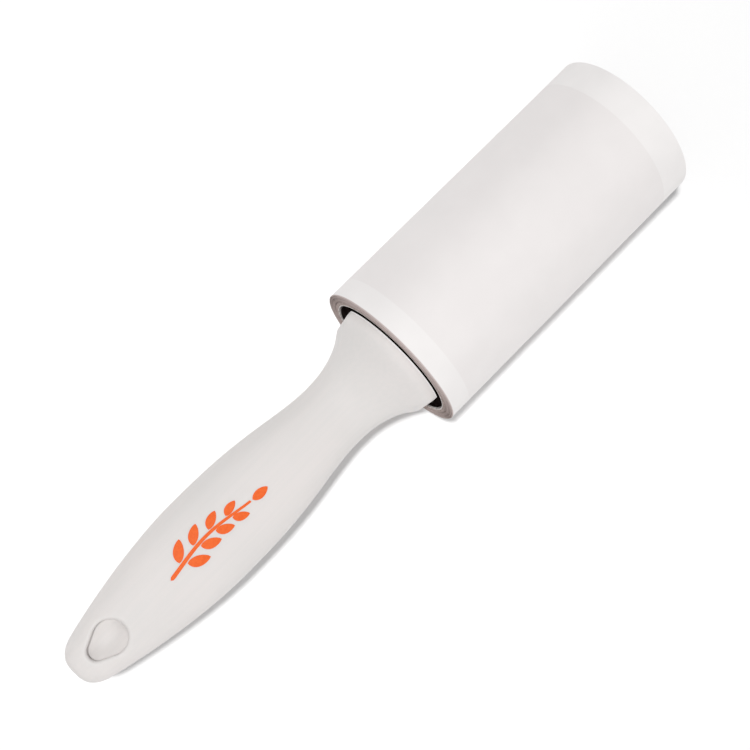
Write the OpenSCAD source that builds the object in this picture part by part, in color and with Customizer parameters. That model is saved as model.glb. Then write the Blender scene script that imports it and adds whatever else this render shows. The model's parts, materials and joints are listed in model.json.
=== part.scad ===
// Lint roller: a hollow paddle handle, a drum that spins on an axle, and a refill of adhesive sheets.
// Millimetres. +X runs along the axle from the handle's tail to the roll's free end, and +Z is up.
// The object lies on its roll. The origin is on that surface, below the middle of the whole object.

/* [Overall] */
// Length from the handle's tail to the free end of the roll
overall_l = 227; // [220:1:235]
// Length of the roll, which is the width of its sheets
roll_l = 101.6; // [98:0.2:104]

/* [Handle outline] */
// Width of the tail where its rounded end starts
tail_w = 12.8; // [12:0.2:15]
// Greatest width of the grip
grip_w = 29.2; // [27:0.2:33]
// Width of the neck behind the flare
neck_w = 21.4; // [19:0.2:24]
// Distance of the widest place from the tail's end
widest_at = 51; // [48:1:56]
// Distance of the neck from the tail's end
neck_at = 101; // [97:1:103]
// Length of the rounded end of the tail
tail_round_l = 7.5; // [6:0.5:9]

/* [Handle thickness] */
// Thickness of the tail
tail_t = 10; // [9.5:0.5:11]
// Thickness of the grip
grip_t = 15; // [14:0.5:17]
// Thickness of the neck
neck_t = 14; // [13.5:0.5:16]
// Wall thickness of the two shells
wall = 2; // [1.8:0.1:2.2]
// How square the handle's cross-section is, where 2 is an ellipse
squareness = 2.4; // [2.2:0.1:2.8]

/* [Flare] */
// Diameter of the rim that faces the roll
rim_d = 40.4; // [39:0.2:40.8]
// Width of the rim across its two flats
rim_w = 34.6; // [33:0.2:36]
// Length of the straight band behind the rim
rim_band = 2.8; // [1.5:0.1:4]
// Gap between the rim and the near end of the roll
rim_gap = 0.35; // [0.35:0.05:1]

/* [Hanging hole] */
// Diameter of the hole's larger round
hole_d = 10; // [9:0.2:10.6]
// Diameter of the hole's smaller round, nearer the tail
hole_small_d = 5.6; // [5:0.2:6.4]
// Distance of the larger round's centre from the tail's end
hole_at = 13.6; // [13:0.2:14.4]
// Distance between the centres of the two rounds
hole_pitch = 4.9; // [4.4:0.1:5.4]

/* [Axle and drum] */
// Diameter of the axle
axle_d = 8; // [7:0.5:8.5]
// Diameter of the drum's tube, without its grip ribs
drum_d = 38; // [37:0.2:39]
// Wall thickness of the drum's tube
drum_wall = 1.4; // [1.2:0.1:1.8]
// Number of grip ribs along the drum
rib_count = 8; // [6:2:10]
// Diameter of the drum's front flange, which closes the mouth of the roll
flange_d = 40.6; // [39:0.2:40.8]
// Depth of the drum's front inside the near end of the roll
front_recess = 0.2; // [0.2:0.1:3]
// Depth of the drum's rear inside the free end of the roll
rear_recess = 9; // [6:0.5:12]

/* [Refill] */
// Inside diameter of the cardboard core
core_bore_d = 41.4; // [41.4:0.1:42]
// Thickness of the core's white inner ply
liner_t = 0.3; // [0.2:0.05:0.4]
// Thickness of the core's brown outer ply
board_t = 1; // [0.8:0.05:1.2]
// Thickness of one adhesive sheet
sheet_t = 0.095; // [0.08:0.005:0.11]
// Width of the perforation that ends each sheet
slit_w = 0.4; // [0.2:0.1:0.8]
// Greatest distance between a sheet's edge and the core's end
stagger = 0.3; // [0.1:0.05:0.5]

/* [Hidden] */
$fn = 96;
SHEETS = 30;

// The name of one sheet's node, such as sheet_07
function sheet_name(i) = str("sheet_", i < 10 ? "0" : "", i);

liner_r = core_bore_d / 2 + liner_t;
core_r = liner_r + board_t;
roll_r = core_r + SHEETS * sheet_t;
tail_x = -overall_l / 2;
far_x = overall_l / 2;
near_x = far_x - roll_l;

// The handle's length, and where its flare reaches full size
handle_l = near_x - rim_gap - tail_x;
rim_at = handle_l - rim_band;

// How sharply the flare turns into the rim's band
crease = 12;

// Where the drum and the parts that hold it lie along the axle
play = 0.3;
drum_x0 = near_x + front_recess;
drum_x1 = far_x - rear_recess;
axle_l_in_handle = 32;
axle_x0 = tail_x + handle_l - axle_l_in_handle;
axle_x1 = drum_x1 + play;
axle_r = axle_d / 2;
axle_run = 0.05;
collar_d = 12;
collar_l = 3;
collar_at = handle_l - 12.5;
shoulder_l = rim_gap + front_recess - play;
saddle_t = 1.6;
saddle_w = 12;
washer_d = 13;
washer_t = 1;
screw_d = 3;
screw_l = 12;
screw_head_d = 6;
screw_head_t = 2;
recess_w = 0.9;
recess_l = 3.4;
recess_depth = 1.2;

// Drum details
cap_t = 1.6;
plug_l = 4;
plug_wall = 1.4;
hub_d = 13;
hub_l = 10;
pocket_count = 6;
pocket_d = 6.4;
pocket_ring = 12.6;
pocket_depth = 0.8;
rib_w = 1.6;
rib_reach = 20.6;
rib_setback = 1;

// Locating pins between the shells: [distance from the tail, distance from the middle]
PINS = [[30, 6.2], [74, 7.4]];
pin_d = 3;
pin_l = 3;
pin_run = 0.05;
boss_d = 5.6;
eyelet_wall = 1.6;

// Facets of the handle's skin: steps around half a section, and along each stretch
HALF_STEPS = 16;
TAIL_STEPS = 6;
GRIP_STEPS = 22;
FLARE_STEPS = 12;

// Straight steps in each round end of the hanging hole
ARC_STEPS = 24;

function mix(a, b, t) = a + (b - a) * t;
function ease(t) = t * t * (3 - 2 * t);

// Half a width or thickness at distance s from the tail: it swells to the grip, eases in to the neck
// and then flares out to the rim. A low power makes the swelling full, and a high one makes the flare late.
function swell(s, tail, grip) = grip - (grip - tail) * pow(1 - s / widest_at, 1.7);
function waist(s, grip, neck) = mix(grip, neck, ease(pow((s - widest_at) / (neck_at - widest_at), 1.6)));

// The flare's growth from 0 to nearly 1: a power curve that a soft minimum rounds off into the rim's band
function growth(s) = pow(pow(max(0.001, (s - neck_at) / (rim_at - neck_at)), -2.3 * crease) + 1, -1 / crease);
function flare(s, neck, rim) = mix(neck, rim, growth(s) / growth(handle_l));
function along(s, tail, grip, neck, rim) =
    s < widest_at ? swell(s, tail, grip) :
    s < neck_at ? waist(s, grip, neck) : flare(s, neck, rim);

// The share of the full section that is left in the rounded end of the tail
function tail_share(s) = s >= tail_round_l ? 1 : max(0.35, pow(1 - pow(1 - s / tail_round_l, 3), 1 / 3));

function half_w(s) = tail_share(s) * along(s, tail_w, grip_w, neck_w, rim_w) / 2;
function half_t(s) = tail_share(s) * along(s, tail_t, grip_t, neck_t, rim_d) / 2;

// Height of the outer skin at distance s from the tail and distance y from the middle of the grip
function skin_z(s, y, inset = 0) =
    (half_t(s) - inset) * pow(1 - pow(y / (half_w(s) - inset), squareness), 1 / squareness);

// How far the section has turned from a soft slab to the rim's round with two flats
function roundness(s) = s < neck_at ? 0 : min(1, (s - neck_at) / (rim_at - neck_at));

// One point of the upper half of a section, at angle a from the +Y side
function slab_power(v) = pow(abs(v), 2 / squareness);
function section_y(s, a, w) =
    w * sign(cos(a)) * mix(slab_power(cos(a)), min(1, abs(cos(a)) * rim_d / rim_w), roundness(s));
function section_z(s, a, h) = h * mix(slab_power(sin(a)), sin(a), roundness(s));
function section(s, inset) = [
    for (j = [0 : HALF_STEPS]) let (a = 180 * j / HALF_STEPS)
        [s, section_y(s, a, half_w(s) - inset), section_z(s, a, half_t(s) - inset)]
];

// Distances of the sections from the tail, close together where the outline bends most
stations = concat(
    [for (i = [0 : TAIL_STEPS - 1]) tail_round_l * (1 - cos(90 * i / TAIL_STEPS))],
    [for (i = [0 : GRIP_STEPS - 1]) mix(tail_round_l, neck_at, i / GRIP_STEPS)],
    [for (i = [0 : FLARE_STEPS]) mix(neck_at, rim_at, sin(90 * i / FLARE_STEPS))],
    [for (t = [0.35, 1]) mix(rim_at, handle_l, t)]
);
inner_stations = [for (s = stations) mix(wall, handle_l - wall, s / handle_l)];

// Places its children with x = 0 at the tail and z = 0 on the axle
module in_handle() {
    translate([tail_x, 0, roll_r]) children();
}

module on_axle() {
    translate([0, 0, roll_r]) children();
}

// A rod of radius r along the axle, from x0 to x1
module rod(r, x0, x1) {
    translate([x0, 0, 0]) rotate([0, 90, 0]) cylinder(r = r, h = x1 - x0);
}

module tube(r_out, r_in, x0, x1) {
    difference() {
        rod(r_out, x0, x1);
        rod(r_in, x0 - 1, x1 + 1);
    }
}

// Triangles from a hub point to every side of the section whose points start at first
function fan(hub, first, flip) = [
    for (j = [0 : HALF_STEPS])
        let (p = first + j, q = first + (j + 1) % (HALF_STEPS + 1))
            flip ? [hub, q, p] : [hub, p, q]
];

// The upper skin as one closed solid: outer surface, inner surface, and the flat joint face between them
module half_skin() {
    row = HALF_STEPS + 1;
    last = len(stations) - 1;
    inner = row * len(stations);
    end = last * row;
    hubs = 2 * inner;
    points = concat(
        [for (s = stations) each section(s, 0)],
        [for (s = inner_stations) each section(s, wall)],
        [for (s = [0, handle_l]) [s, 0, half_t(s) / 2]],
        [for (s = [wall, handle_l - wall]) [s, 0, (half_t(s) - wall) / 2]]
    );
    skin = [
        for (i = [0 : last - 1], j = [0 : HALF_STEPS - 1])
            let (a = i * row + j, b = a + row)
                each [[a, b, a + 1], [a + 1, b, b + 1]]
    ];
    lining = [for (f = skin) [f[2] + inner, f[1] + inner, f[0] + inner]];
    left_joint = [for (i = [0 : last - 1]) let (a = i * row, b = a + row) [a + inner, b + inner, b, a]];
    right_joint = [
        for (i = [0 : last - 1])
            let (a = i * row + HALF_STEPS, b = a + row) [a, b, b + inner, a + inner]
    ];
    end_joints = [
        [HALF_STEPS, inner + HALF_STEPS, inner, 0],
        [end + inner, end + inner + HALF_STEPS, end + HALF_STEPS, end]
    ];
    outer_ends = concat(fan(hubs, 0, false), fan(hubs + 1, end, true));
    inner_ends = concat(fan(hubs + 2, inner, true), fan(hubs + 3, end + inner, false));
    polyhedron(points, concat(skin, lining, left_joint, right_joint, end_joints, outer_ends, inner_ends));
}

// Points on an arc about [x, 0], from angle a0 to a1
function arc(x, r, a0, a1) = [
    for (i = [0 : ARC_STEPS])
        let (a = mix(a0, a1, i / ARC_STEPS)) [x + r * cos(a), r * sin(a)]
];

// Outline of the hanging hole: two round ends, joined by straight sides that run on from them
module egg(grow) {
    lean = asin((hole_d - hole_small_d) / 2 / hole_pitch);
    big = arc(hole_at, hole_d / 2 + grow, -90 - lean, 90 + lean);
    small = arc(hole_at - hole_pitch, hole_small_d / 2 + grow, 90 + lean, 270 - lean);
    polygon(concat(big, small));
}

// A rib across the inside of a shell, at distance s from the tail, that the axle is bedded in
module saddle(s) {
    top = mix(skin_z(s, saddle_w / 2), skin_z(s, saddle_w / 2, wall), 0.5);
    translate([s - saddle_t / 2, -saddle_w / 2, 0]) cube([saddle_t, saddle_w, top]);
}

// A round boss that stands on the inside of a shell's wall
module boss(s, y) {
    translate([s, y, 0]) cylinder(d = boss_d, h = skin_z(s, abs(y) + boss_d / 2) - 0.25, $fn = 48);
}

// What both shells share: skin, saddles for the axle, bosses and the wall of the hanging hole
module half_handle() {
    collar_gap = collar_l / 2 + saddle_t / 2;
    difference() {
        union() {
            half_skin();
            saddle(handle_l - axle_l_in_handle + 3);
            saddle(collar_at - collar_gap);
            saddle(collar_at + collar_gap);
            for (p = PINS, side = [-1, 1]) boss(p[0], side * p[1]);
            linear_extrude(tail_t / 2 - 0.7) egg(eyelet_wall);
        }
        rod(axle_r, handle_l - axle_l_in_handle, handle_l + 1);
        translate([0, 0, -1]) linear_extrude(tail_t) egg(0);
    }
}

module handle_top_shell() {
    color("gainsboro") in_handle() {
        half_handle();
        for (p = PINS, side = [-1, 1])
            translate([p[0], side * p[1], -pin_l]) cylinder(d = pin_d, h = pin_l + 1, $fn = 48);
    }
}

module handle_bottom_shell() {
    socket_depth = pin_l + 0.4;
    color("gainsboro") in_handle() difference() {
        mirror([0, 0, 1]) half_handle();
        for (p = PINS, side = [-1, 1])
            translate([p[0], side * p[1], -socket_depth])
                cylinder(d = pin_d + 2 * pin_run, h = socket_depth + 1, $fn = 48);
    }
}

module axle() {
    collar_x = tail_x + collar_at;
    color("silver") on_axle() difference() {
        union() {
            rod(axle_r, axle_x0, axle_x1);
            rod(collar_d / 2, collar_x - collar_l / 2, collar_x + collar_l / 2);
            rod(collar_d / 2, drum_x0 - play - shoulder_l, drum_x0 - play);
        }
        rod(screw_d / 2, axle_x1 - screw_l, axle_x1 + 1);
    }
}

module retaining_washer() {
    color("lightsteelblue") on_axle()
        tube(washer_d / 2, screw_d / 2 + 0.1, axle_x1, axle_x1 + washer_t);
}

module retaining_screw() {
    head_x = axle_x1 + washer_t;
    color("slategray") on_axle() difference() {
        union() {
            rod(screw_d / 2, axle_x1 - screw_l + 2, head_x + 1);
            rod(screw_head_d / 2, head_x, head_x + screw_head_t);
        }
        translate([head_x + screw_head_t, 0, 0]) {
            cube([2 * recess_depth, recess_w, recess_l], center = true);
            cube([2 * recess_depth, recess_l, recess_w], center = true);
        }
    }
}

module drum_tube() {
    body_x0 = drum_x0 + cap_t;
    body_l = drum_x1 - cap_t - body_x0;
    rib_root = (drum_d - drum_wall) / 2;
    color("dimgray") on_axle() difference() {
        union() {
            rod(drum_d / 2, body_x0, body_x0 + body_l);
            for (k = [0 : rib_count - 1])
                rotate([360 * (k + 0.5) / rib_count, 0, 0])
                    translate([body_x0 + rib_setback, -rib_w / 2, rib_root])
                        cube([body_l - 2 * rib_setback, rib_w, rib_reach - rib_root]);
        }
        rod(drum_d / 2 - drum_wall, body_x0 - 1, body_x0 + body_l + 1);
    }
}

// A drum cap: its flange from x = 0 to cap_t with shallow pockets outside, its plug and its bearing hub
module drum_cap(cap_d) {
    plug_r = drum_d / 2 - drum_wall;
    difference() {
        union() {
            rod(cap_d / 2, 0, cap_t);
            tube(plug_r, plug_r - plug_wall, cap_t - 0.1, cap_t + plug_l);
            rod(hub_d / 2, 0, hub_l);
        }
        rod(axle_r + axle_run, -1, hub_l + 1);
        for (k = [0 : pocket_count - 1])
            rotate([360 * (k + 0.5) / pocket_count, 0, 0])
                translate([0, 0, pocket_ring]) rod(pocket_d / 2, -1, pocket_depth);
    }
}

module drum_front_cap() {
    color("darkslategray") on_axle() translate([drum_x0, 0, 0]) drum_cap(flange_d);
}

module drum_rear_cap() {
    color("darkslategray") on_axle() translate([drum_x1, 0, 0]) mirror([1, 0, 0]) drum_cap(drum_d);
}

module core_inner_ply() {
    color("whitesmoke") on_axle() tube(liner_r, core_bore_d / 2, near_x, far_x);
}

module core_outer_ply() {
    color("tan") on_axle() tube(core_r, liner_r, near_x, far_x);
}

// Sheet i, counted outwards from the core: one full turn, open at its perforation. Each sheet is wound
// a little to one side, and each perforation falls a little further round than the one below.
module sheet(i) {
    r_in = core_r + (i - 1) * sheet_t;
    shift = stagger / 2 * sin(137 * i);
    x0 = near_x + stagger / 2 + shift;
    x1 = far_x - stagger / 2 + shift;
    slit_angle = 100 + 11 * (SHEETS - i);
    difference() {
        tube(r_in + sheet_t, r_in, x0, x1);
        rotate([slit_angle, 0, 0])
            translate([x0 - 1, -slit_w / 2, r_in - 1]) cube([x1 - x0 + 2, slit_w, 2 + sheet_t]);
    }
}

handle_top_shell();
handle_bottom_shell();
axle();
retaining_washer();
retaining_screw();
drum_tube();
drum_front_cap();
drum_rear_cap();
core_inner_ply();
core_outer_ply();
for (i = [1 : SHEETS])
    color("white") on_axle() sheet(i);
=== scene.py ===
# %% [markdown]
# # A lint roller
# The roller is a hollow moulded handle, a black drum that spins on an axle, and a refill: thirty
# sheets of adhesive paper wound on a cardboard core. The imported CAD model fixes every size, so this
# lesson only gives each piece a finer mesh and its finish. First we load that model and keep its box.

# %% Load the frame
import json
import math

import bmesh
import bpy
from mathutils import Matrix, Vector


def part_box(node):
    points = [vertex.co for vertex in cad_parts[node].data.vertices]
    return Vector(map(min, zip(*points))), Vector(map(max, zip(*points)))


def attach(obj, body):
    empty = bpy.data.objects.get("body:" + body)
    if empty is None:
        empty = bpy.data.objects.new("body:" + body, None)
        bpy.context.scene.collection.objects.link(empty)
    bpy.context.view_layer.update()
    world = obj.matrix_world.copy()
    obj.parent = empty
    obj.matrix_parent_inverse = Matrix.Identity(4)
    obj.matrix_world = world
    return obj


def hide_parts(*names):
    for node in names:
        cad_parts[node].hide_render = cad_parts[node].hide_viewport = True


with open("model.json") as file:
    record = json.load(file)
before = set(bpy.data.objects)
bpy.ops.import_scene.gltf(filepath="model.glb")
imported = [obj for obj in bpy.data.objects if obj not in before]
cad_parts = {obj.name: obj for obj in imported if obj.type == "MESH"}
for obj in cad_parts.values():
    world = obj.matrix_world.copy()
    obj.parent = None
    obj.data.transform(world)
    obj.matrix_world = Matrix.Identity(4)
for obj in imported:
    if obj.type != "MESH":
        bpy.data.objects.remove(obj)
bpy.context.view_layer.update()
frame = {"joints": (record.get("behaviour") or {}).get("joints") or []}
MM = 0.001
scene = bpy.context.scene

# %% [markdown]
# ## Where things are
# Everything turns about one line, the axle, which runs along +X. Its height comes from the joint that
# the drum spins on. The ends of the roll and of the handle come from the CAD nodes' own boxes, so a
# change of size in the CAD model moves the fine pieces with it.

# %% Read the places
spin_joint = next(j for j in frame["joints"] if j["name"] == "drum_spin")
axis_z = spin_joint["pos_m"][2]


def ends_of(node):
    """Where a CAD node starts and stops along the axle, and its greatest radius about it."""
    low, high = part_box(node)
    radius = max(high.y, -low.y, high.z - axis_z, axis_z - low.z)
    return low.x, high.x, radius


near_x, far_x, core_r = ends_of("core_outer_ply")
tail_x, rim_x, _ = ends_of("handle_top_shell")
handle_l = rim_x - tail_x
print(f"handle {handle_l / MM:.1f} mm, roll {(far_x - near_x) / MM:.1f} mm, core_r {core_r / MM:.2f} mm")

# %% [markdown]
# ## Camera
# A product picture looks almost straight down, with the object across the frame from corner to
# corner. A short portrait lens makes the far end of the roll a little narrower than the near end. The
# camera leans a little toward the handle, so the near end of the roll shows as a thin crescent. We
# build the camera's three axes from that lean, and from the angle that the axle makes with the bottom
# of the picture.

# %% Place the camera
LENS_MM = 74.5
CAMERA_DISTANCE = 450 * MM
CAMERA_LEAN = math.radians(10.9)
AXLE_ANGLE = math.radians(44.95)
aim = Vector((near_x - 6.7 * MM, -0.4 * MM, axis_z))
backward = Vector((-math.sin(CAMERA_LEAN), 0, math.cos(CAMERA_LEAN)))
along_axle = Vector((math.cos(CAMERA_LEAN), 0, math.sin(CAMERA_LEAN)))
across = Vector((0, 1, 0))
right = along_axle * math.cos(AXLE_ANGLE) - across * math.sin(AXLE_ANGLE)
up = along_axle * math.sin(AXLE_ANGLE) + across * math.cos(AXLE_ANGLE)

camera = bpy.data.objects.new("camera", bpy.data.cameras.new("camera"))
camera.data.lens = LENS_MM
camera.data.sensor_width = 36
camera.data.clip_start = 0.01
facing = Matrix((right, up, backward)).transposed().to_4x4()
camera.matrix_world = Matrix.Translation(aim + backward * CAMERA_DISTANCE) @ facing
scene.collection.objects.link(camera)
scene.camera = camera
scene.view_settings.view_transform = "Standard"
print("camera at", tuple(round(c, 3) for c in camera.matrix_world.translation))

# %% [markdown]
# ## Shader maths as sums
# A finish is easier to read as arithmetic than as a web of nodes. A Wire is the output of a node, and
# adding or scaling wires adds the Math node that does it. Finish is one material, and its node method
# is the only way that a node is made: its type, then its settings, then the values of its sockets.

# %% A small kit for materials
class Wire:
    """The output of a node, which can be used in sums."""

    def __init__(self, finish, socket):
        self.finish = finish
        self.socket = socket

    def math(self, operation, *others):
        return self.finish.math(operation, self, *others)

    def __add__(self, other):
        return self.math("ADD", other)

    def __sub__(self, other):
        return self.math("SUBTRACT", other)

    def __rsub__(self, other):
        return self.finish.math("SUBTRACT", other, self)

    def __mul__(self, other):
        return self.math("MULTIPLY", other)

    def __truediv__(self, other):
        return self.math("DIVIDE", other)

    def __pow__(self, other):
        return self.math("POWER", other)

    __radd__ = __add__
    __rmul__ = __mul__

    def rise(self, start, end):
        """0 before start, 1 after end, and a smooth step between them."""
        sockets = {"Value": self, "From Min": start, "From Max": end}
        return self.finish.node("ShaderNodeMapRange", {"interpolation_type": "SMOOTHSTEP"}, sockets)


class Finish:
    """One material: a Principled shader, and a method that makes any other node."""

    def __init__(self, name, **constants):
        self.material = bpy.data.materials.new(name)
        self.material.use_nodes = True
        self.tree = self.material.node_tree
        self.shader = self.tree.nodes["Principled BSDF"]
        for key, value in constants.items():
            self.set(key.replace("_", " ").title().replace("Ior", "IOR"), value)

    def plug(self, socket, value):
        if isinstance(value, Wire):
            self.tree.links.new(value.socket, socket)
        elif socket.type == "RGBA":
            socket.default_value = (*value, 1)
        else:
            socket.default_value = value

    def set(self, name, value):
        """Gives a socket of the shader a value or a wire."""
        self.plug(self.shader.inputs[name], value)

    def node(self, kind, settings=None, sockets=None, output=None):
        new = self.tree.nodes.new(kind)
        for key, value in (settings or {}).items():
            setattr(new, key, value)
        for key, value in (sockets or {}).items():
            self.plug(new.inputs[key], value)
        if output is None:
            return Wire(self, next(o for o in new.outputs if o.enabled))
        return Wire(self, new.outputs[output])

    def math(self, operation, *values):
        return self.node("ShaderNodeMath", {"operation": operation}, dict(enumerate(values)))

    def point(self):
        """The point on the piece, in metres."""
        return self.node("ShaderNodeTexCoord", output="Object")

    def place(self):
        """The point on the piece, and its x, its y and its height above the axle."""
        point = self.point()
        x, y, z = (self.node("ShaderNodeSeparateXYZ", None, {0: point}, name) for name in "XYZ")
        return point, x, y, z - axis_z

    def noise(self, point, scale, detail=3.0, squeeze=(1, 1, 1)):
        """Cloudy noise from 0 to 1, with scale lumps to the metre. Squeeze stretches them."""
        placed = self.node("ShaderNodeMapping", None, {"Vector": point, "Scale": squeeze})
        sockets = {"Vector": placed, "Scale": scale, "Detail": detail}
        return self.node("ShaderNodeTexNoise", None, sockets, "Fac")

    def blend(self, share, first, second):
        """The first colour where share is 0, and the second where it is 1."""
        sockets = {0: share, 6: first, 7: second}
        return self.node("ShaderNodeMix", {"data_type": "RGBA"}, sockets, 2)

    def bump(self, height, depth):
        """Gives the shader a normal from a height of 0 to 1, which stands for depth in metres."""
        self.set("Normal", self.node("ShaderNodeBump", None, {"Height": height, "Distance": depth}))


def paint(red, green, blue):
    """The linear colour of an ordinary screen colour, from 0 to 255."""
    return tuple(((v / 255 + 0.055) / 1.055) ** 2.4 for v in (red, green, blue))

# %% [markdown]
# ## From bmesh to a finished piece
# Every new piece takes the same last steps: its edges are marked sharp past an angle, it gets its
# finishes, and it rides on the body that it moves with. A boolean joins or cuts whole meshes where
# that is the plain way, such as a hole through a wall, and is applied at once.

# %% Helpers that finish a piece
def piece_from(bm, name, *finishes):
    """Makes an object from bm, with its place in its mesh."""
    mesh = bpy.data.meshes.new(name)
    bm.to_mesh(mesh)
    bm.free()
    for finish in finishes:
        mesh.materials.append(finish.material)
    piece = bpy.data.objects.new(name, mesh)
    scene.collection.objects.link(piece)
    return piece


def combine(piece, tool_bm, operation):
    """Cuts the tool out of the piece, or joins it on."""
    tool = piece_from(tool_bm, "tool")
    step = piece.modifiers.new("step", "BOOLEAN")
    step.operation = operation
    step.solver = "EXACT"
    step.object = tool
    bpy.context.view_layer.update()
    graph = bpy.context.evaluated_depsgraph_get()
    result = bpy.data.meshes.new_from_object(piece.evaluated_get(graph))
    piece.modifiers.clear()
    piece.data = result
    bpy.data.objects.remove(tool)


def fit_in(piece, body, nodes, sharp_angle=35):
    """Shades the piece, and lets it ride on its body in place of the CAD nodes that it stands for."""
    piece.data.shade_smooth()
    piece.data.set_sharp_from_angle(angle=math.radians(sharp_angle))
    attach(piece, body)
    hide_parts(*nodes)
    check = bmesh.new()
    check.from_mesh(piece.data)
    loose = sum(not e.is_manifold for e in check.edges)
    volume = check.calc_volume() / MM ** 3
    print(f"{piece.name}: {len(check.faces)} faces, {loose} open edges, {volume:.0f} mm3")
    check.free()

# %% [markdown]
# ## Turned pieces
# Most of the roller is round about the axle, so one helper does the work of a lathe: it spins a
# closed profile of points, each a distance along the axle and a radius. Real edges are never sharp,
# so a second helper rounds the profile's corners before the spin.

# %% Lathe helpers
def rounded(corners, radius, steps=3):
    """A closed profile with each of its corners rounded off."""
    out = []
    for k, corner in enumerate(corners):
        here = Vector(corner)
        before, after = Vector(corners[k - 1]) - here, Vector(corners[(k + 1) % len(corners)]) - here
        r = min(radius, before.length / 2.2, after.length / 2.2)
        start, end = here + before.normalized() * r, here + after.normalized() * r
        shares = [i / steps for i in range(steps + 1)]
        out += [tuple(start * (1 - t) ** 2 + here * 2 * t * (1 - t) + end * t ** 2) for t in shares]
    return out


def on_circle(x, radius, angle):
    """A point about the axle, at an angle turned from straight up toward -Y."""
    return Vector((x, -radius * math.sin(angle), axis_z + radius * math.cos(angle)))


def turned(profile, sides, closed=True):
    """Spins a profile about the axle. An open profile starts and ends on the axle."""
    bm = bmesh.new()
    points = [bm.verts.new(on_circle(x, r, 0)) for x, r in profile]
    lines = [bm.edges.new(pair) for pair in zip(points, points[1:])]
    if closed:
        lines.append(bm.edges.new((points[-1], points[0])))
    bmesh.ops.spin(
        bm, geom=points + lines, cent=(0, 0, axis_z), axis=(1, 0, 0),
        angle=2 * math.pi, steps=sides, use_merge=True,
    )
    bmesh.ops.remove_doubles(bm, verts=bm.verts, dist=1e-7)
    bmesh.ops.recalc_face_normals(bm, faces=bm.faces)
    return bm


def block(bm, low, high, edge=0.0):
    """Adds a box between two corners, with its edges beveled, and returns its points."""
    made = bmesh.ops.create_cube(bm, size=1)["verts"]
    size = Vector(high) - Vector(low)
    bmesh.ops.scale(bm, verts=made, vec=size)
    bmesh.ops.translate(bm, verts=made, vec=Vector(low) + size / 2)
    if edge:
        edges = list({e for v in made for e in v.link_edges})
        done = bmesh.ops.bevel(
            bm, geom=edges, offset=edge, segments=2, profile=0.5, affect="EDGES", material=-1,
        )
        made = list({v for f in done["faces"] for v in f.verts})
    return made

# %% [markdown]
# ## Floor
# The picture has a plain white ground. A pale floor that gives off a little light of its own stays
# white right up to the object, and keeps only a soft shadow at its foot.

# %% Floor
floor_finish = Finish(
    "pale_floor", base_color=(0.9, 0.9, 0.9), roughness=0.95, specular_ior_level=0.0,
    emission_color=(1.0, 1.0, 1.0), emission_strength=0.08,
)
bm = bmesh.new()
bmesh.ops.create_grid(bm, x_segments=1, y_segments=1, size=3)
floor = piece_from(bm, "floor", floor_finish)

# %% [markdown]
# ## Light
# The world gives even light from all round. A small lamp beside the camera, a little to its upper
# left, lights the faces that we see and lays a narrow shadow along the lower right of the object. Two
# long strips, one at each side of the roll, keep its round sides nearly as light as its middle. Light
# linking keeps them off the floor, so that they can't wash the narrow shadow out, and lets a second
# lamp beside the camera light the floor alone, which keeps the open ground white.

# %% Lights
world = bpy.data.worlds.new("studio")
scene.world = world
world.use_nodes = True
world.node_tree.nodes["Background"].inputs["Color"].default_value = (1.0, 1.0, 1.0, 1)
world.node_tree.nodes["Background"].inputs["Strength"].default_value = 0.36
middle = Vector((0, 0, axis_z))


def lamp(name, direction, distance, size, level):
    """An area lamp that faces the middle. Level is what it adds to a white surface that faces it."""
    data = bpy.data.lights.new(name, "AREA")
    data.shape = "RECTANGLE"
    data.size, data.size_y = size
    data.energy = level * (math.pi * distance) ** 2
    holder = bpy.data.objects.new(name, data)
    z = direction.normalized()
    x = (along_axle - z * along_axle.dot(z)).normalized()
    axes = Matrix((x, z.cross(x), z)).transposed().to_4x4()
    holder.matrix_world = Matrix.Translation(middle + z * distance) @ axes
    scene.collection.objects.link(holder)
    return holder


def off_camera(to_right, to_up):
    """A direction that leans away from the camera's, by degrees to the picture's right and up."""
    return backward + right * math.tan(math.radians(to_right)) + up * math.tan(math.radians(to_up))


def linked(light, name, state):
    """Makes a lamp light only the floor (INCLUDE), or everything but the floor (EXCLUDE)."""
    receivers = bpy.data.collections.new(name)
    receivers.objects.link(floor)
    receivers.collection_objects[0].light_linking.link_state = state
    light.light_linking.receiver_collection = receivers


beside = off_camera(-4, 4)
lamp("beside_camera", beside, 1.6, (0.1, 0.1), 0.47)
linked(lamp("floor_fill", beside, 1.6, (0.1, 0.1), 0.28), "floor_only", "INCLUDE")
linked(lamp("lower_strip", off_camera(45, -45), 1.0, (0.6, 0.3), 0.28), "all_but_floor_1", "EXCLUDE")
linked(lamp("upper_strip", off_camera(-38, 38), 1.0, (0.6, 0.3), 0.14), "all_but_floor_2", "EXCLUDE")

# %% [markdown]
# ## The handle's shape
# The handle swells from its tail to a broad grip, eases in to a neck, and flares out to a rim with
# two flats. Short formulas give half its width and half its thickness at any distance from the tail.
# A section starts as a soft slab, and turns into the rim's round as the flare opens.

# %% Outline and sections
TAIL_W, GRIP_W, NECK_W, RIM_W = 12.8 * MM, 29.2 * MM, 21.4 * MM, 34.6 * MM
TAIL_T, GRIP_T, NECK_T, RIM_D = 10 * MM, 15 * MM, 14 * MM, 40.4 * MM
WIDEST_AT, NECK_AT, RIM_AT = 51 * MM, 101 * MM, handle_l - 2.8 * MM
TAIL_ROUND = 7.5 * MM
WALL = 2 * MM
SQUARENESS = 2.4
SWELL_POWER, WAIST_POWER, FLARE_POWER = 1.7, 1.6, 2.3
CREASE = 12


def mix(a, b, t):
    return a + (b - a) * t


def flare_share(s):
    return max(0.0, min(1.0, (s - NECK_AT) / (RIM_AT - NECK_AT)))


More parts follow.
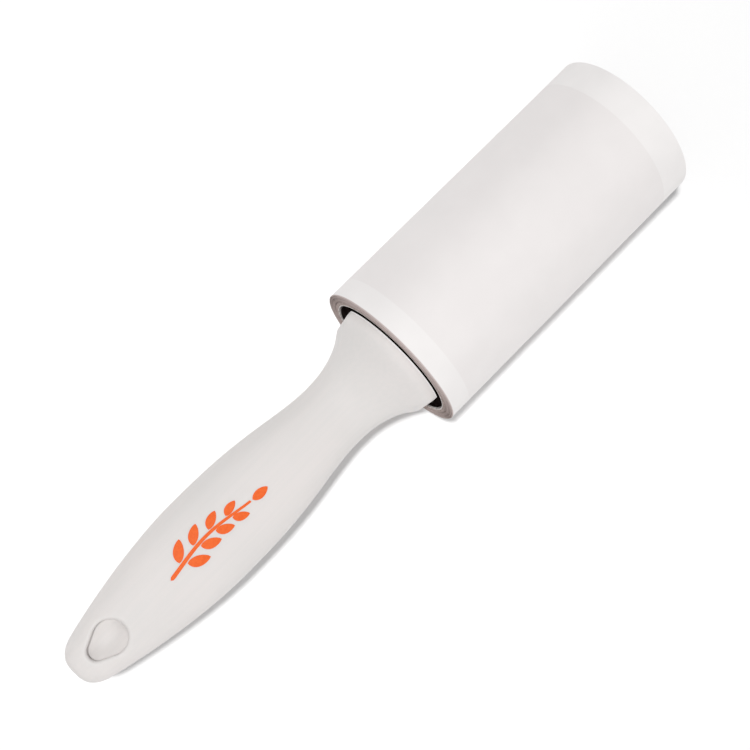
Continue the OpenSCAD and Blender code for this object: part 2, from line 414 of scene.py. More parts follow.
def growth(s):
    """The flare's growth: a power curve that a soft minimum rounds off into the rim's band."""
    share = max(0.001, (s - NECK_AT) / (RIM_AT - NECK_AT))
    return (share ** (-FLARE_POWER * CREASE) + 1) ** (-1 / CREASE)


def half_size(s, tail, grip, neck, rim):
    """Half a width or thickness at distance s from the tail, from its four full sizes."""
    if s < WIDEST_AT:
        full = grip - (grip - tail) * (1 - s / WIDEST_AT) ** SWELL_POWER
    elif s < NECK_AT:
        t = ((s - WIDEST_AT) / (NECK_AT - WIDEST_AT)) ** WAIST_POWER
        full = mix(grip, neck, t * t * (3 - 2 * t))
    else:
        full = mix(neck, rim, growth(s) / growth(handle_l))
    rounding = 1.0 if s >= TAIL_ROUND else (1 - (1 - s / TAIL_ROUND) ** 3) ** (1 / 3)
    return rounding * full / 2


def half_w(s):
    return half_size(s, TAIL_W, GRIP_W, NECK_W, RIM_W)


def half_t(s):
    return half_size(s, TAIL_T, GRIP_T, NECK_T, RIM_D)


def skin_height(s, y):
    """Height of the grip's skin above the axle, anywhere before the flare."""
    share = min(1.0, abs(y) / half_w(s))
    return half_t(s) * (1 - share ** SQUARENESS) ** (1 / SQUARENESS)


def section_point(s, angle, inset):
    """A point of the section at distance s, at an angle measured from +Y."""
    c, z = math.cos(angle), math.sin(angle)
    slab_y, slab_z = abs(c) ** (2 / SQUARENESS), abs(z) ** (2 / SQUARENESS)
    y = (half_w(s) - inset) * mix(slab_y, min(1.0, abs(c) * RIM_D / RIM_W), flare_share(s))
    h = (half_t(s) - inset) * mix(slab_z, abs(z), flare_share(s))
    return Vector((tail_x + s, math.copysign(y, c), axis_z + math.copysign(h, z)))

# %% [markdown]
# ## Sweeping the skin
# To make a skin of this kind, extrude a circle along a straight line, one ring for each station, and
# then move every point onto its own section. That gives an even grid of quads which bends with the
# form. The outer skin and the lining are the same sweep, with the lining set in by the wall.

# %% Sweep helpers
SIDES = 72


def stations(first, last):
    """Distances from the tail, close together at the rounded tail, around the hole and in the flare."""
    tail = [TAIL_ROUND * (1 - math.cos(math.pi / 2 * (i + 0.25) / 12)) for i in range(12)]
    hole = [mix(TAIL_ROUND, 23 * MM, i / 18) for i in range(18)]
    grip = [mix(23 * MM, NECK_AT, i / 40) for i in range(40)]
    flare = [mix(NECK_AT, RIM_AT, math.sin(math.pi / 2 * i / 22)) for i in range(23)]
    band = [mix(RIM_AT, handle_l, i / 6) for i in range(1, 7)]
    return [mix(first, last, s / handle_l) for s in tail + hole + grip + flare + band]


def sweep(bm, distances, inset):
    """Extrudes a ring of points through the stations, closes its ends, and returns its faces."""
    ring = bmesh.ops.create_circle(bm, segments=SIDES, radius=1)["verts"]
    bmesh.ops.rotate(bm, verts=ring, cent=(0, 0, 0), matrix=Matrix.Rotation(math.pi / 2, 3, "Y"))
    bmesh.ops.translate(bm, verts=ring, vec=(distances[0], 0, 0))
    points, edges = list(ring), list({e for v in ring for e in v.link_edges})
    first, faces = edges, []
    for before, after in zip(distances, distances[1:]):
        grown = bmesh.ops.extrude_edge_only(bm, edges=edges)["geom"]
        new = [g for g in grown if isinstance(g, bmesh.types.BMVert)]
        edges = [g for g in grown if isinstance(g, bmesh.types.BMEdge) and set(g.verts) <= set(new)]
        faces += [g for g in grown if isinstance(g, bmesh.types.BMFace)]
        bmesh.ops.translate(bm, verts=new, vec=(after - before, 0, 0))
        points += new
    for v in points:
        step = round(math.atan2(v.co.z, v.co.y) * SIDES / (2 * math.pi))
        v.co = section_point(v.co.x, step * 2 * math.pi / SIDES, inset)
    faces += bmesh.ops.holes_fill(bm, edges=first + edges, sides=0)["faces"]
    return faces

# %% [markdown]
# The two shells meet in the plane of the axle, as mouldings do. A bisect cuts both sweeps there, and
# bridging the two cut loops makes the joint face. A fine bevel along the joint leaves the hairline
# groove that you can see and feel on the real thing, and a wider one softens the rim.

# %% Cut a half shell
SEAM, RIM_EDGE = 0.1 * MM, 0.25 * MM


def soften(bm, edges, width, segments):
    bmesh.ops.bevel(
        bm, geom=edges, offset=width, segments=segments, profile=0.5, affect="EDGES", material=-1,
        clamp_overlap=True,
    )


def on_joint(place, end):
    """Whether a point is on the outer edge of the joint, and before the rim."""
    s = place.x - tail_x
    return abs(place.z - axis_z) < 1e-6 and place.x < end and abs(place.y) > half_w(s) - WALL / 2


def half_shell(side):
    """The upper (1) or lower (-1) shell, before its hole is cut."""
    bm = bmesh.new()
    sweep(bm, stations(0, handle_l), 0.0)
    lining = sweep(bm, stations(WALL, handle_l - WALL), WALL)
    bmesh.ops.recalc_face_normals(bm, faces=bm.faces)
    bmesh.ops.reverse_faces(bm, faces=lining)
    everything = bm.verts[:] + bm.edges[:] + bm.faces[:]
    bmesh.ops.bisect_plane(
        bm, geom=everything, dist=1e-7, plane_co=(0, 0, axis_z), plane_no=(0, 0, -side),
        clear_outer=True,
    )
    bmesh.ops.bridge_loops(bm, edges=[e for e in bm.edges if e.is_boundary])
    end = max(f.calc_center_median().x for f in bm.faces)
    cap = [f for f in bm.faces if f.calc_center_median().x > end - 1e-6 and abs(f.normal.x) > 0.9]
    soften(bm, [e for f in cap for e in f.edges if abs(e.verts[0].co.z - axis_z) > 1e-6], RIM_EDGE, 3)
    joint = [e for e in bm.edges if all(on_joint(v.co, end - 1 * MM) for v in e.verts)]
    soften(bm, joint, SEAM, 1)
    bmesh.ops.recalc_face_normals(bm, faces=bm.faces)
    return bm


# %% [markdown]
# ## The hanging hole
# The hole is an egg: two round ends joined by straight sides. Its wall is an eyelet that ties the two
# shells together, and its mouth is well rounded, because fingers and hooks go there. We make the
# mouth's negative as a stack of egg rings that widen as they near the skin, and cut with that.

# %% Egg rings
HOLE_AT, HOLE_R = 13.6 * MM, 5 * MM
SMALL_AT, SMALL_R = 8.7 * MM, 2.8 * MM
EYELET_WALL, EYELET_TOP = 1.6 * MM, 4.3 * MM
MOUTH_ROUND = 1.1 * MM
EGG_SIDES = 80


def egg_point(share, grow):
    """Distance from the tail and from the middle of a point on the outline, grown outwards."""
    quarter = math.pi / 2 + math.asin((HOLE_R - SMALL_R) / (HOLE_AT - SMALL_AT))
    if share < 0.5:
        t, angle = 0.0, mix(-quarter, quarter, share / 0.5)
    elif share < 0.6:
        t, angle = (share - 0.5) / 0.1, quarter
    elif share < 0.9:
        t, angle = 1.0, mix(quarter, 2 * math.pi - quarter, (share - 0.6) / 0.3)
    else:
        t, angle = (1 - share) / 0.1, -quarter
    r = mix(HOLE_R, SMALL_R, t) + grow
    return mix(HOLE_AT, SMALL_AT, t) + r * math.cos(angle), r * math.sin(angle)


def egg_stack(bm, side, levels):
    """Adds a closed stack of egg rings. A level is its growth, and its height at any point."""
    ring = bmesh.ops.create_circle(bm, segments=EGG_SIDES, radius=1)["verts"]
    points, edges = list(ring), list({e for v in ring for e in v.link_edges})
    ends = list(edges)
    for _ in levels[1:]:
        grown = bmesh.ops.extrude_edge_only(bm, edges=edges)["geom"]
        new = [g for g in grown if isinstance(g, bmesh.types.BMVert)]
        edges = [g for g in grown if isinstance(g, bmesh.types.BMEdge) and set(g.verts) <= set(new)]
        bmesh.ops.translate(bm, verts=new, vec=(0, 0, 1))
        for v in new:
            v.co.z = round(v.co.z)
        points += new
    bmesh.ops.holes_fill(bm, edges=ends + edges, sides=0)
    for v in points:
        grow, height = levels[round(v.co.z)]
        step = round(math.atan2(v.co.y, v.co.x) * EGG_SIDES / (2 * math.pi)) % EGG_SIDES
        s, y = egg_point(step / EGG_SIDES, grow)
        v.co = (tail_x + s, y, axis_z + side * height(s, y))


def mouth_levels():
    """Straight up to the skin's rounding, out along a quarter round, and clear of the skin."""
    levels = [(0.0, lambda s, y: -2 * MM)]
    for i in range(8):
        lean = math.radians(80 * i / 7)
        depth = MOUTH_ROUND * (1 - math.sin(lean))
        levels.append((MOUTH_ROUND * (1 - math.cos(lean)), lambda s, y, d=depth: skin_height(s, y) - d))
    levels.append((levels[-1][0] + 1.8 * MM, lambda s, y: skin_height(s, y) + 0.3 * MM))
    levels.append((levels[-1][0], lambda s, y: 14 * MM))
    return levels

# %% [markdown]
# ## Inside the handle
# Nobody sees the inside, but it is what holds the roller together: saddles that bed the axle, and
# bosses with locating pins. They are blocks and rods, joined to the shell in the same step as the
# eyelet. The axle's bore and the pins' sockets are cut in the same step as the hole.

# %% Join and cut the two shells
AXLE_R = 4 * MM
AXLE_IN_HANDLE = 32 * MM
COLLAR_AT, COLLAR_D, COLLAR_L = handle_l - 12.5 * MM, 12 * MM, 3 * MM
SADDLE_T, SADDLE_W = 1.6 * MM, 12 * MM
SADDLES = (handle_l - 29 * MM, COLLAR_AT - 2.3 * MM, COLLAR_AT + 2.3 * MM)
PINS = ((30 * MM, 6.2 * MM), (30 * MM, -6.2 * MM), (74 * MM, 7.4 * MM), (74 * MM, -7.4 * MM))
PIN_R, PIN_L, BOSS_R = 1.5 * MM, 3 * MM, 2.8 * MM


def rod(bm, radius, start, end, sides=48):
    """Adds a plain cylinder between two points."""
    start, end = Vector(start), Vector(end)
    turn = (end - start).to_track_quat("Z", "Y").to_matrix().to_4x4()
    bmesh.ops.create_cone(
        bm, cap_ends=True, segments=sides, radius1=radius, radius2=radius,
        depth=(end - start).length, matrix=Matrix.Translation((start + end) / 2) @ turn,
    )


def section_height(s, y):
    """Height of the skin at distance y from the middle, in the flare as well."""
    points = [section_point(s, math.radians(a), 0.0) for a in range(91)]
    return min(points, key=lambda p: abs(p.y - y)).z - axis_z


def additions(side):
    """The eyelet, the saddles and the bosses of one shell."""
    bm = bmesh.new()
    egg_stack(bm, side, [(EYELET_WALL, lambda s, y: 0.0), (EYELET_WALL, lambda s, y: EYELET_TOP)])
    for s in SADDLES:
        y = SADDLE_W / 2
        top = section_height(s, y) - WALL / 2
        low, high = sorted((axis_z, axis_z + side * top))
        block(bm, (tail_x + s - SADDLE_T / 2, -y, low), (tail_x + s + SADDLE_T / 2, y, high))
    for s, y in PINS:
        top = skin_height(s, abs(y) + BOSS_R) - 0.25 * MM
        rod(bm, BOSS_R, (tail_x + s, y, axis_z), (tail_x + s, y, axis_z + side * top))
    bmesh.ops.recalc_face_normals(bm, faces=bm.faces)
    return bm


def pin_rods(radius, length):
    """The four locating pins, or the larger rods that cut their sockets."""
    bm = bmesh.new()
    for s, y in PINS:
        rod(bm, radius, (tail_x + s, y, axis_z - length), (tail_x + s, y, axis_z + 1 * MM), 32)
    bmesh.ops.recalc_face_normals(bm, faces=bm.faces)
    return bm


def cuts(side):
    """The hole's negative and the axle's bore."""
    bm = bmesh.new()
    egg_stack(bm, side, mouth_levels())
    end = tail_x + handle_l
    rod(bm, AXLE_R + 0.02 * MM, (end - AXLE_IN_HANDLE, 0, axis_z), (end + 1 * MM, 0, axis_z), 64)
    bmesh.ops.recalc_face_normals(bm, faces=bm.faces)
    return bm

# %% [markdown]
# ## White handle plastic
# The handle is an opal white polypropylene: slightly warm, satin, and cloudy rather than one flat
# tone. Broad, faint clouds tint it, a fine mould texture breaks up its gloss, and a few hair-fine
# flow marks run along the grip where the melt filled the mould. The lip of the rim is painted
# lighter, near white: a painted highlight along the rim's edge.

# %% Handle finish
handle_plastic = Finish(
    "opal_white_plastic", ior=1.49, specular_ior_level=0.25,
    subsurface_weight=0.3, subsurface_radius=(1.0, 0.97, 0.94), subsurface_scale=2.5 * MM,
)
point, x, y, h = handle_plastic.place()
clouds = handle_plastic.noise(point, 45, 4, (0.5, 1, 1))
flow = handle_plastic.noise(point, 900, 2, (0.02, 1, 1))
grain = handle_plastic.noise(point, 2600, 2)
cool = paint(220, 217, 215)
warm = paint(226, 221, 219)
shade = (clouds.rise(0.3, 0.7) * 0.75 + flow.rise(0.4, 0.62) * 0.25)
# painted highlight: the last fraction of a millimetre before the rim is painted near white
rim_painted_highlight = x.rise(rim_x - 0.6 * MM, rim_x - 0.25 * MM)
skin = handle_plastic.blend(shade, cool, warm)
handle_plastic.set("Base Color", handle_plastic.blend(rim_painted_highlight, skin, paint(255, 254, 253)))
handle_plastic.set("Roughness", 0.48 + 0.1 * clouds + 0.06 * grain)
handle_plastic.bump(0.75 * grain + 0.25 * flow, 0.006 * MM)
print("handle finish:", len(handle_plastic.tree.nodes), "nodes")

# %% [markdown]
# Now the two shells are built: the swept half, then one union and one cut. The pins stand on the
# upper shell and their sockets are in the lower one, as the CAD model has them.

# %% Build the shells
for side, name in ((1, "top"), (-1, "bottom")):
    shell = piece_from(half_shell(side), f"moulded_{name}_shell", handle_plastic)
    combine(shell, additions(side), "UNION")
    if side > 0:
        combine(shell, pin_rods(PIN_R, PIN_L), "UNION")
    combine(shell, cuts(side), "DIFFERENCE")
    if side < 0:
        combine(shell, pin_rods(PIN_R + 0.05 * MM, PIN_L + 0.4 * MM), "DIFFERENCE")
    fit_in(shell, "handle", [f"handle_{name}_shell"])

# %% [markdown]
# ## The ornament on the grip
# The grip carries a small print in orange ink. Ours is a plain sprig of leaves. Each leaf is a grid
# that we pinch to a point at both ends, bend a little, turn, and lay on the skin. The print is a film
# that you can just feel, so it stands only a few hundredths of a millimetre proud.

# %% Ink
orange_ink = Finish("orange_ink", specular_ior_level=0.2)
point = orange_ink.point()
speckle = orange_ink.noise(point, 1500, 3)
deep_orange, light_orange = paint(233, 93, 27), paint(241, 107, 39)
orange_ink.set("Base Color", orange_ink.blend(speckle.rise(0.25, 0.75), deep_orange, light_orange))
orange_ink.set("Roughness", 0.42 + 0.16 * speckle)
orange_ink.bump(speckle, 0.004 * MM)

# %% Sprig of leaves
SPRIG_AT, SPRIG_L = 36 * MM, 31 * MM
INK_TOP, INK_FOOT = 0.03 * MM, -0.06 * MM
sprig = bmesh.new()


def stem_point(t):
    """Distance from the tail and from the middle of a point on the stem, at a share t of its length."""
    return SPRIG_AT + SPRIG_L * t, 1.1 * MM * math.sin(math.pi * (1.5 * t - 0.25))


def stem_heading(t):
    ahead, here = stem_point(t + 0.01), stem_point(t)
    return math.atan2(ahead[1] - here[1], ahead[0] - here[0])


def strip(columns, rows, outline):
    """Adds a grid whose points go where outline puts them, from shares along it and across it."""
    made = bmesh.ops.create_grid(sprig, x_segments=columns, y_segments=rows, size=0.5)["verts"]
    for v in made:
        s, y = outline(v.co.x + 0.5, v.co.y)
        v.co = (tail_x + s, y, axis_z + skin_height(s, y))


def leaf(foot, heading, length, width, bend):
    def outline(t, side):
        half = width * (4 * t * (1 - t)) ** 0.75 * (1.12 - 0.24 * t)
        u, v = length * t, side * half + bend * t * t
        c, z = math.cos(heading), math.sin(heading)
        return foot[0] + u * c - v * z, foot[1] + u * z + v * c
    strip(14, 6, outline)


def stem(t, side):
    s, y = stem_point(t)
    foot = math.sqrt(1 - max(0.0, 1 - t / 0.04) ** 2)
    return s, y + side * foot * mix(1.25 * MM, 0.7 * MM, t)


strip(48, 2, stem)
for k, t in enumerate((0.14, 0.33, 0.52, 0.71)):
    for side in (1, -1):
        here = stem_point(t + 0.04 * (side < 0))
        heading = stem_heading(t) + side * math.radians(46 - 4 * k)
        foot = here[0] + 1.25 * MM * math.cos(heading), here[1] + 1.25 * MM * math.sin(heading)
        leaf(foot, heading, (6.6 - 0.55 * k) * MM, (3.1 - 0.2 * k) * MM, -side * 0.9 * MM)
tip = stem_point(1.02)
leaf(tip, stem_heading(0.98), 5.6 * MM, 2.7 * MM, 0.3 * MM)
bmesh.ops.remove_doubles(sprig, verts=sprig.verts, dist=0.01 * MM)
bmesh.ops.dissolve_degenerate(sprig, edges=sprig.edges, dist=1e-7)
bmesh.ops.translate(sprig, verts=sprig.verts, vec=(0, 0, INK_FOOT))
film = bmesh.ops.extrude_face_region(sprig, geom=sprig.faces[:], use_keep_orig=True)["geom"]
film_points = [g for g in film if isinstance(g, bmesh.types.BMVert)]
bmesh.ops.translate(sprig, verts=film_points, vec=(0, 0, INK_TOP - INK_FOOT))
bmesh.ops.recalc_face_normals(sprig, faces=sprig.faces)
fit_in(piece_from(sprig, "grip_ornament", orange_ink), "handle", [])

# %% [markdown]
# ## Axle, washer and screw
# The axle is a turned bar with a collar that the saddles hold and a shoulder that the drum runs
# against. A washer and a small pan-head screw at its free end keep the drum on. They show when you
# look into the far end of the roll.

# %% Metal and grey plastic
axle_plastic = Finish("grey_axle_plastic", ior=1.5)
point = axle_plastic.point()
rub = axle_plastic.noise(point, 700, 3, (0.08, 1, 1))
axle_plastic.set("Base Color", axle_plastic.blend(rub, (0.30, 0.30, 0.31), (0.42, 0.42, 0.43)))
axle_plastic.set("Roughness", 0.32 + 0.2 * rub)
axle_plastic.bump(rub, 0.004 * MM)

zinc_steel = Finish("zinc_plated_steel", metallic=1.0)
point, x, y, h = zinc_steel.place()
radius = (y ** 2 + h ** 2) ** 0.5
brush = zinc_steel.noise(point, 1800, 3)
rings = zinc_steel.node(
    "ShaderNodeTexNoise", {"noise_dimensions": "1D"}, {"W": radius * 9000, "Scale": 1.0}, "Fac",
)
zinc_steel.set("Base Color", zinc_steel.blend(brush, (0.50, 0.51, 0.55), (0.68, 0.69, 0.71)))
zinc_steel.set("Roughness", 0.24 + 0.12 * brush + 0.08 * rings)
zinc_steel.bump(0.6 * rings + 0.4 * brush, 0.004 * MM)

# %% Turn them
SCREW_R, SCREW_L, HEAD_R = 1.5 * MM, 12 * MM, 3 * MM
axle_x0, axle_x1, _ = ends_of("axle")
collar_x0 = tail_x + COLLAR_AT - COLLAR_L / 2
collar_x1 = collar_x0 + COLLAR_L
shoulder_x1 = ends_of("drum_front_cap")[0] - 0.3 * MM
bar = rounded([
    (axle_x0, 0.6 * MM), (axle_x0, AXLE_R), (collar_x0, AXLE_R), (collar_x0, COLLAR_D / 2),
    (collar_x1, COLLAR_D / 2), (collar_x1, AXLE_R), (rim_x, AXLE_R), (rim_x, COLLAR_D / 2),
    (shoulder_x1, COLLAR_D / 2), (shoulder_x1, AXLE_R), (axle_x1, AXLE_R),
    (axle_x1, SCREW_R), (axle_x1 - SCREW_L, SCREW_R),
], 0.3 * MM)
bar = [(axle_x0, 0.0)] + bar[3:-4] + [(axle_x1 - SCREW_L, SCREW_R), (axle_x1 - SCREW_L, 0.0)]
axle = piece_from(turned(bar, 64, False), "turned_axle", axle_plastic)
fit_in(axle, "handle", ["axle"])

washer_x0, washer_x1, washer_r = ends_of("retaining_washer")
washer_bore_r = SCREW_R + 0.1 * MM
ring = rounded([
    (washer_x0, washer_bore_r), (washer_x0, washer_r), (washer_x1, washer_r), (washer_x1, washer_bore_r),
], 0.18 * MM)
washer = piece_from(turned(ring, 64), "stamped_washer", zinc_steel)
fit_in(washer, "handle", ["retaining_washer"])

screw_x0, screw_x1, _ = ends_of("retaining_screw")
head_x0 = washer_x1
screw = [(screw_x0, 0.0), (screw_x0, 0.9 * MM), (screw_x0 + 0.6 * MM, SCREW_R - 0.02 * MM),
         (head_x0, SCREW_R - 0.02 * MM), (head_x0, HEAD_R - 0.15 * MM), (head_x0 + 0.2 * MM, HEAD_R)]
for i in range(9):
    a = math.radians(90 * i / 8)
    screw.append((mix(head_x0 + 0.7 * MM, screw_x1, math.sin(a)), HEAD_R * math.cos(a) ** 0.7))
screw[-1] = (screw_x1, 0.0)
pan_head = piece_from(turned(screw, 64, False), "pan_head_screw", zinc_steel)
for wide, tall in ((1.7 * MM, 0.45 * MM), (0.45 * MM, 1.7 * MM)):
    blade = bmesh.new()
    block(blade, (screw_x1 - 1.2 * MM, -wide, axis_z - tall), (screw_x1 + 1 * MM, wide, axis_z + tall))
    combine(pan_head, blade, "DIFFERENCE")
fit_in(pan_head, "handle", ["retaining_screw"])

# %% [markdown]
# ## The black drum
# The refill is pushed onto a drum: a thin tube with ribs that grip the core, closed by two caps that
# turn on the axle. The caps are near black with no gloss: painted shade, which keeps the mouth of the
# roll as dark as a shadow from any side. The ribs are one block, copied round the axle by a spin that
# duplicates, and joined to the tube.

# %% Black plastic
def black(name, specular, dark, light):
    """Black moulded plastic with a little dust, and a fine grain in its gloss."""
    finish = Finish(name, specular_ior_level=specular)
    point = finish.point()
    dust = finish.noise(point, 160, 4)
    grain = finish.noise(point, 2200, 2)
    finish.set("Base Color", finish.blend(dust.rise(0.3, 0.8), dark, light))
    finish.set("Roughness", 0.46 + 0.18 * grain)
    finish.bump(grain, 0.01 * MM)
    return finish


black_plastic = black("black_drum_plastic", 0.35, paint(30, 27, 27), paint(38, 34, 34))
# painted shade: the caps are near black and glossless, so the mouth of the roll stays dark like a shadow
caps_painted_shade = black("black_cap_plastic", 0.0, paint(12, 9, 9), paint(34, 27, 26))

# %% Ribbed tube
def copy_round(bm, count):
    """Copies what bm holds round the axle, starting half a step from straight up."""
    half_step = Matrix.Rotation(math.pi / count, 3, "X")
    bmesh.ops.rotate(bm, verts=bm.verts, cent=(0, 0, axis_z), matrix=half_step)
    bmesh.ops.spin(
        bm, geom=bm.verts[:] + bm.edges[:] + bm.faces[:], cent=(0, 0, axis_z), axis=(1, 0, 0),
        angle=2 * math.pi * (count - 1) / count, steps=count - 1, use_duplicate=True,
    )


DRUM_R, DRUM_WALL = 19 * MM, 1.4 * MM
RIBS, RIB_W, RIB_REACH, RIB_SETBACK = 8, 1.6 * MM, 20.6 * MM, 1 * MM
tube_x0, tube_x1, _ = ends_of("drum_tube")
tube_r = DRUM_R - DRUM_WALL
wall = rounded([(tube_x0, tube_r), (tube_x0, DRUM_R), (tube_x1, DRUM_R), (tube_x1, tube_r)], 0.25 * MM)
drum = piece_from(turned(wall, 128), "ribbed_drum", black_plastic)
ribs = bmesh.new()
block(
    ribs, (tube_x0 + RIB_SETBACK, -RIB_W / 2, axis_z + DRUM_R - DRUM_WALL / 2),
    (tube_x1 - RIB_SETBACK, RIB_W / 2, axis_z + RIB_REACH), 0.35 * MM,
)
copy_round(ribs, RIBS)
bmesh.ops.recalc_face_normals(ribs, faces=ribs.faces)
combine(drum, ribs, "UNION")
fit_in(drum, "drum", ["drum_tube"])

# %% [markdown]
# A cap is one turned profile: a flange, a plug that fits the tube and a bearing hub. Its outer face
# has six shallow round pockets, which a moulding has so that thick places cool evenly. The front cap's
# flange is wider, and closes the mouth of the roll around the handle's rim.

# %% Caps
CAP_T, PLUG_L, PLUG_WALL = 1.6 * MM, 4 * MM, 1.4 * MM
HUB_R, HUB_L, BEARING_R = 6.5 * MM, 10 * MM, 4.05 * MM
POCKETS, POCKET_R, POCKET_RING, POCKET_DEPTH = 6, 3.2 * MM, 12.6 * MM, 0.8 * MM


def cap(name, node, face_x, inward):
    """Makes one cap, from its outer face and the direction along the axle that leads into the drum."""
    flange_r = ends_of(node)[2]
    corners = [
        (0, BEARING_R), (0, flange_r), (CAP_T, flange_r), (CAP_T, tube_r), (CAP_T + PLUG_L, tube_r),
        (CAP_T + PLUG_L, tube_r - PLUG_WALL), (CAP_T, tube_r - PLUG_WALL), (CAP_T, HUB_R),
        (HUB_L, HUB_R), (HUB_L, BEARING_R),
    ]
    profile = rounded([(face_x + inward * u, r) for u, r in corners], 0.3 * MM)
    piece = piece_from(turned(profile, 128), name, caps_painted_shade)
    pockets = bmesh.new()
    centre_z = axis_z + POCKET_RING
    start, end = (face_x - inward * MM, 0, centre_z), (face_x + inward * POCKET_DEPTH, 0, centre_z)
    rod(pockets, POCKET_R, start, end)
    copy_round(pockets, POCKETS)
    bmesh.ops.recalc_face_normals(pockets, faces=pockets.faces)
    combine(piece, pockets, "DIFFERENCE")
    fit_in(piece, "drum", [node])


cap("front_cap", "drum_front_cap", ends_of("drum_front_cap")[0], 1)
cap("rear_cap", "drum_rear_cap", ends_of("drum_rear_cap")[1], -1)

# %% [markdown]
# ## The cardboard core
# The core is two plies of board, wound in a spiral and glued: white inside and brown outside. You see
# the white one as a thin light line round the mouth. Its inner face shows the spiral seam, which the
# finish draws: the seam is where the turn about the axle, plus the distance along it, comes round.

# %% Board finishes
def board(name, dark, light, seam_depth):
    """Board with fibres, and a spiral seam where two edges of the strip meet."""
    finish = Finish(name, specular_ior_level=0.25)
    point, x, y, h = finish.place()
    fibre = finish.noise(point, 1100, 4, (0.35, 1, 1))
    lap = (y.math("ARCTAN2", h) / (2 * math.pi) + x / (58 * MM)).math("FRACT")
    seam = (lap - 0.5).math("ABSOLUTE").rise(0.485, 0.498)
    tone = fibre.rise(0.25, 0.75) * (1 - 0.5 * seam)
    finish.set("Base Color", finish.blend(tone, dark, light))
    finish.set("Roughness", 0.78 + 0.14 * fibre)
    finish.bump(0.4 * fibre - 0.6 * seam, seam_depth)
    return finish


white_board = board("white_board", paint(196, 188, 184), paint(240, 236, 234), 0.05 * MM)
brown_board = board("brown_board", paint(146, 130, 124), paint(186, 171, 166), 0.05 * MM)

# %% Core plies
CORE_BORE_R, LINER_R = 20.7 * MM, 21 * MM
for colour, node, inner_r, outer_r, finish in (
    ("white", "core_inner_ply", CORE_BORE_R, LINER_R, white_board),
    ("brown", "core_outer_ply", LINER_R, core_r, brown_board),
):
    corners = [(near_x, inner_r), (near_x, outer_r), (far_x, outer_r), (far_x, inner_r)]
    ply = piece_from(turned(rounded(corners, 0.06 * MM, 2), 160), f"{colour}_ply", finish)
    fit_in(ply, "refill", [node])

# %% [markdown]
# ## Adhesive sheets
# Thirty sheets are wound on the core, each one full turn that ends at a perforation. They are not wound
# quite true, so their edges step in and out at the ends of the roll, and glue and dust tint those
# edges tan. A cut edge and a printed face look different, so a sheet has two finishes.

# %% Edge finish
sheet_edge = Finish("tan_sheet_edge", specular_ior_level=0.05)
point, x, y, h = sheet_edge.place()
radius = (y ** 2 + h ** 2) ** 0.5
wander = sheet_edge.noise(point, 70, 2)
layers = sheet_edge.node(
    "ShaderNodeTexNoise", {"noise_dimensions": "1D"},
    {"W": radius * 1000 + 0.35 * wander, "Scale": 1.5, "Detail": 3.0, "Roughness": 0.6}, "Fac",
)
fleck = sheet_edge.noise(point, 1300, 3)
tone = layers.rise(0.32, 0.68) * 0.85 + fleck * 0.15
sheet_edge.set("Base Color", sheet_edge.blend(tone, paint(146, 130, 125), paint(196, 181, 176)))
sheet_edge.set("Roughness", 0.6 + 0.2 * fleck)
sheet_edge.bump(fleck, 0.02 * MM)

# %% [markdown]
# The face is white paper. Most of it carries a film of adhesive, a shade darker and with a soft gloss,
# with very faint ripples that run round the roll. A dry margin is left at each end, matt and lighter,
# so that fingers can lift the sheet. The last fraction of a millimetre at the mouth is tinted too.

# %% Face finish
NEAR_MARGIN, FAR_MARGIN = 7 * MM, 10 * MM
sheet_face = Finish("adhesive_paper", ior=1.48, specular_ior_level=0.35)
point, x, y, h = sheet_face.place()
sticky = x.rise(near_x + NEAR_MARGIN - 0.2 * MM, near_x + NEAR_MARGIN + 0.2 * MM) * (
    1 - x.rise(far_x - FAR_MARGIN - 0.2 * MM, far_x - FAR_MARGIN + 0.2 * MM)
)
mottle = sheet_face.noise(point, 90, 4)
fibre = sheet_face.noise(point, 1500, 3, (1, 0.4, 0.4))
ripple = sheet_face.noise(point, 700, 2, (1, 0.06, 0.06))
paper = sheet_face.blend(mottle.rise(0.3, 0.7), paint(238, 235, 234), paint(241, 238, 237))
film = sheet_face.blend(mottle.rise(0.3, 0.7), paint(234, 230, 229), paint(236, 232, 231))
tinted = 1 - x.rise(near_x + 0.2 * MM, near_x + 0.55 * MM)
face = sheet_face.blend(sticky, paper, film)
sheet_face.set("Base Color", sheet_face.blend(tinted, face, paint(202, 189, 186)))
sheet_face.set("Roughness", 0.7 - sticky * 0.22 + 0.04 * mottle)
sheet_face.bump(0.5 * fibre + sticky * ripple * 0.5, 0.012 * MM)

# %% Wound sheets
SHEETS, SHEET_T, SLIT_W, SLIT_STEP = 30, 0.095 * MM, 0.4 * MM, math.radians(11)
TOP_SLIT = math.radians(100)


def open_ring(x0, x1, r_out, slit, rows, sides):
    """One sheet: a ring of paper, open at its slit, with a number of rows along the roll."""
    bm = bmesh.new()
    r_in = r_out - SHEET_T
    half_slit = SLIT_W / 2 / r_out
    corners = [bm.verts.new(on_circle(x, r, slit + half_slit)) for x, r in (
        (x0, r_in), (x1, r_in), (x1, r_out), (x0, r_out),
    )]
    sides_of = [bm.edges.new((corners[k], corners[(k + 1) % 4])) for k in range(4)]
    if rows > 1:
        bmesh.ops.subdivide_edges(bm, edges=[sides_of[0], sides_of[2]], cuts=rows - 1)
    bmesh.ops.spin(
        bm, geom=bm.verts[:] + bm.edges[:], cent=(0, 0, axis_z), axis=(1, 0, 0),
        angle=2 * math.pi - 2 * half_slit, steps=sides,
    )
    return bm


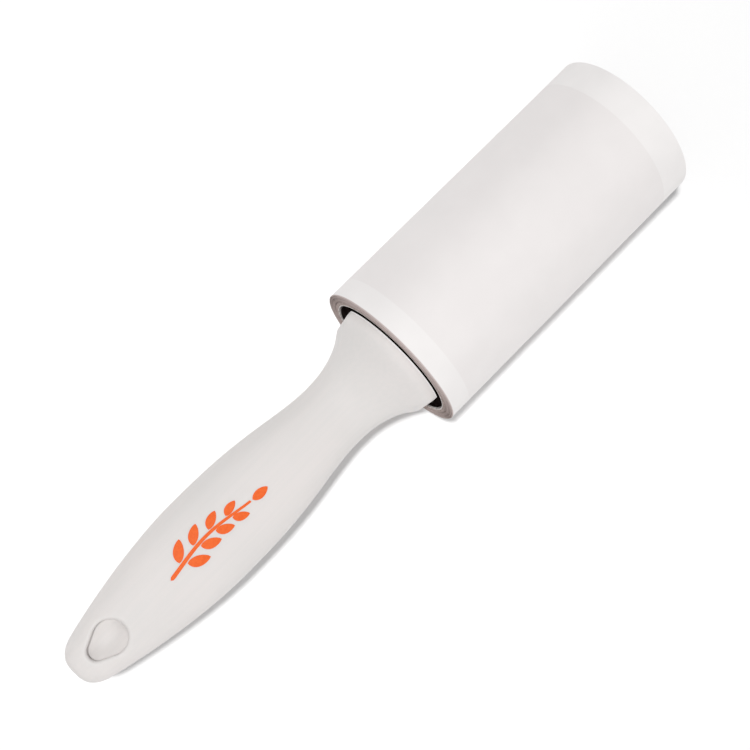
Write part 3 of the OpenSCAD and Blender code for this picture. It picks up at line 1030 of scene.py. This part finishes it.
def close_sheet(bm):
    """Fills the two faces at the slit, and gives the edges at the ends of the roll their own finish."""
    bmesh.ops.holes_fill(bm, edges=[e for e in bm.edges if e.is_boundary], sides=0)
    bmesh.ops.recalc_face_normals(bm, faces=bm.faces)
    for f in bm.faces:
        f.material_index = int(abs(f.normal.x) > 0.7)


for i in range(1, SHEETS):
    x0, x1, r_out = ends_of(f"sheet_{i:02d}")
    bm = open_ring(x0, x1, r_out, TOP_SLIT + SLIT_STEP * (SHEETS - i), 1, 120)
    close_sheet(bm)
    sheet = piece_from(bm, f"wound_sheet_{i:02d}", sheet_face, sheet_edge)
    fit_in(sheet, "refill", [f"sheet_{i:02d}"])

# %% [markdown]
# ## The top sheet
# The outermost sheet is the one that you look at, so it is a finer mesh. Paper is never a perfect
# cylinder: its outer face dips by a few hundredths of a millimetre here and there, which breaks up the
# long highlight. Along the slit, the torn perforation leaves a row of small teeth.

# %% Top sheet
TOOTH, DIP = 0.14 * MM, 0.03 * MM
ROWS, TURN_STEPS = 96, 168
x0, x1, r_out = ends_of("sheet_30")
bm = open_ring(x0, x1, r_out, TOP_SLIT, ROWS, TURN_STEPS)
half_slit = SLIT_W / 2 / r_out
gap_sides = 0
for v in bm.verts:
    turn = math.atan2(-v.co.y, v.co.z - axis_z)
    away = (turn - TOP_SLIT + math.pi) % (2 * math.pi) - math.pi
    r = Vector((v.co.y, v.co.z - axis_z)).length
    if r > r_out - SHEET_T / 2:
        wave = math.sin(3 * turn + 41 * v.co.x + 0.6) * math.sin(5 * turn - 67 * v.co.x)
        fine = math.sin(11 * turn + 90 * v.co.x) * math.sin(150 * v.co.x - 2 * turn)
        r -= DIP * (0.5 + 0.35 * wave + 0.15 * fine)
    if abs(away) < half_slit * 1.5:
        row = round((v.co.x - x0) / (x1 - x0) * ROWS)
        turn += (TOOTH / r_out) * (0.5 if row % 2 else -0.5)
        gap_sides += 1
    v.co = on_circle(v.co.x, r, turn)
print("points along the perforation:", gap_sides)
close_sheet(bm)
top_sheet = piece_from(bm, "top_sheet", sheet_face, sheet_edge)
fit_in(top_sheet, "refill", ["sheet_30"])
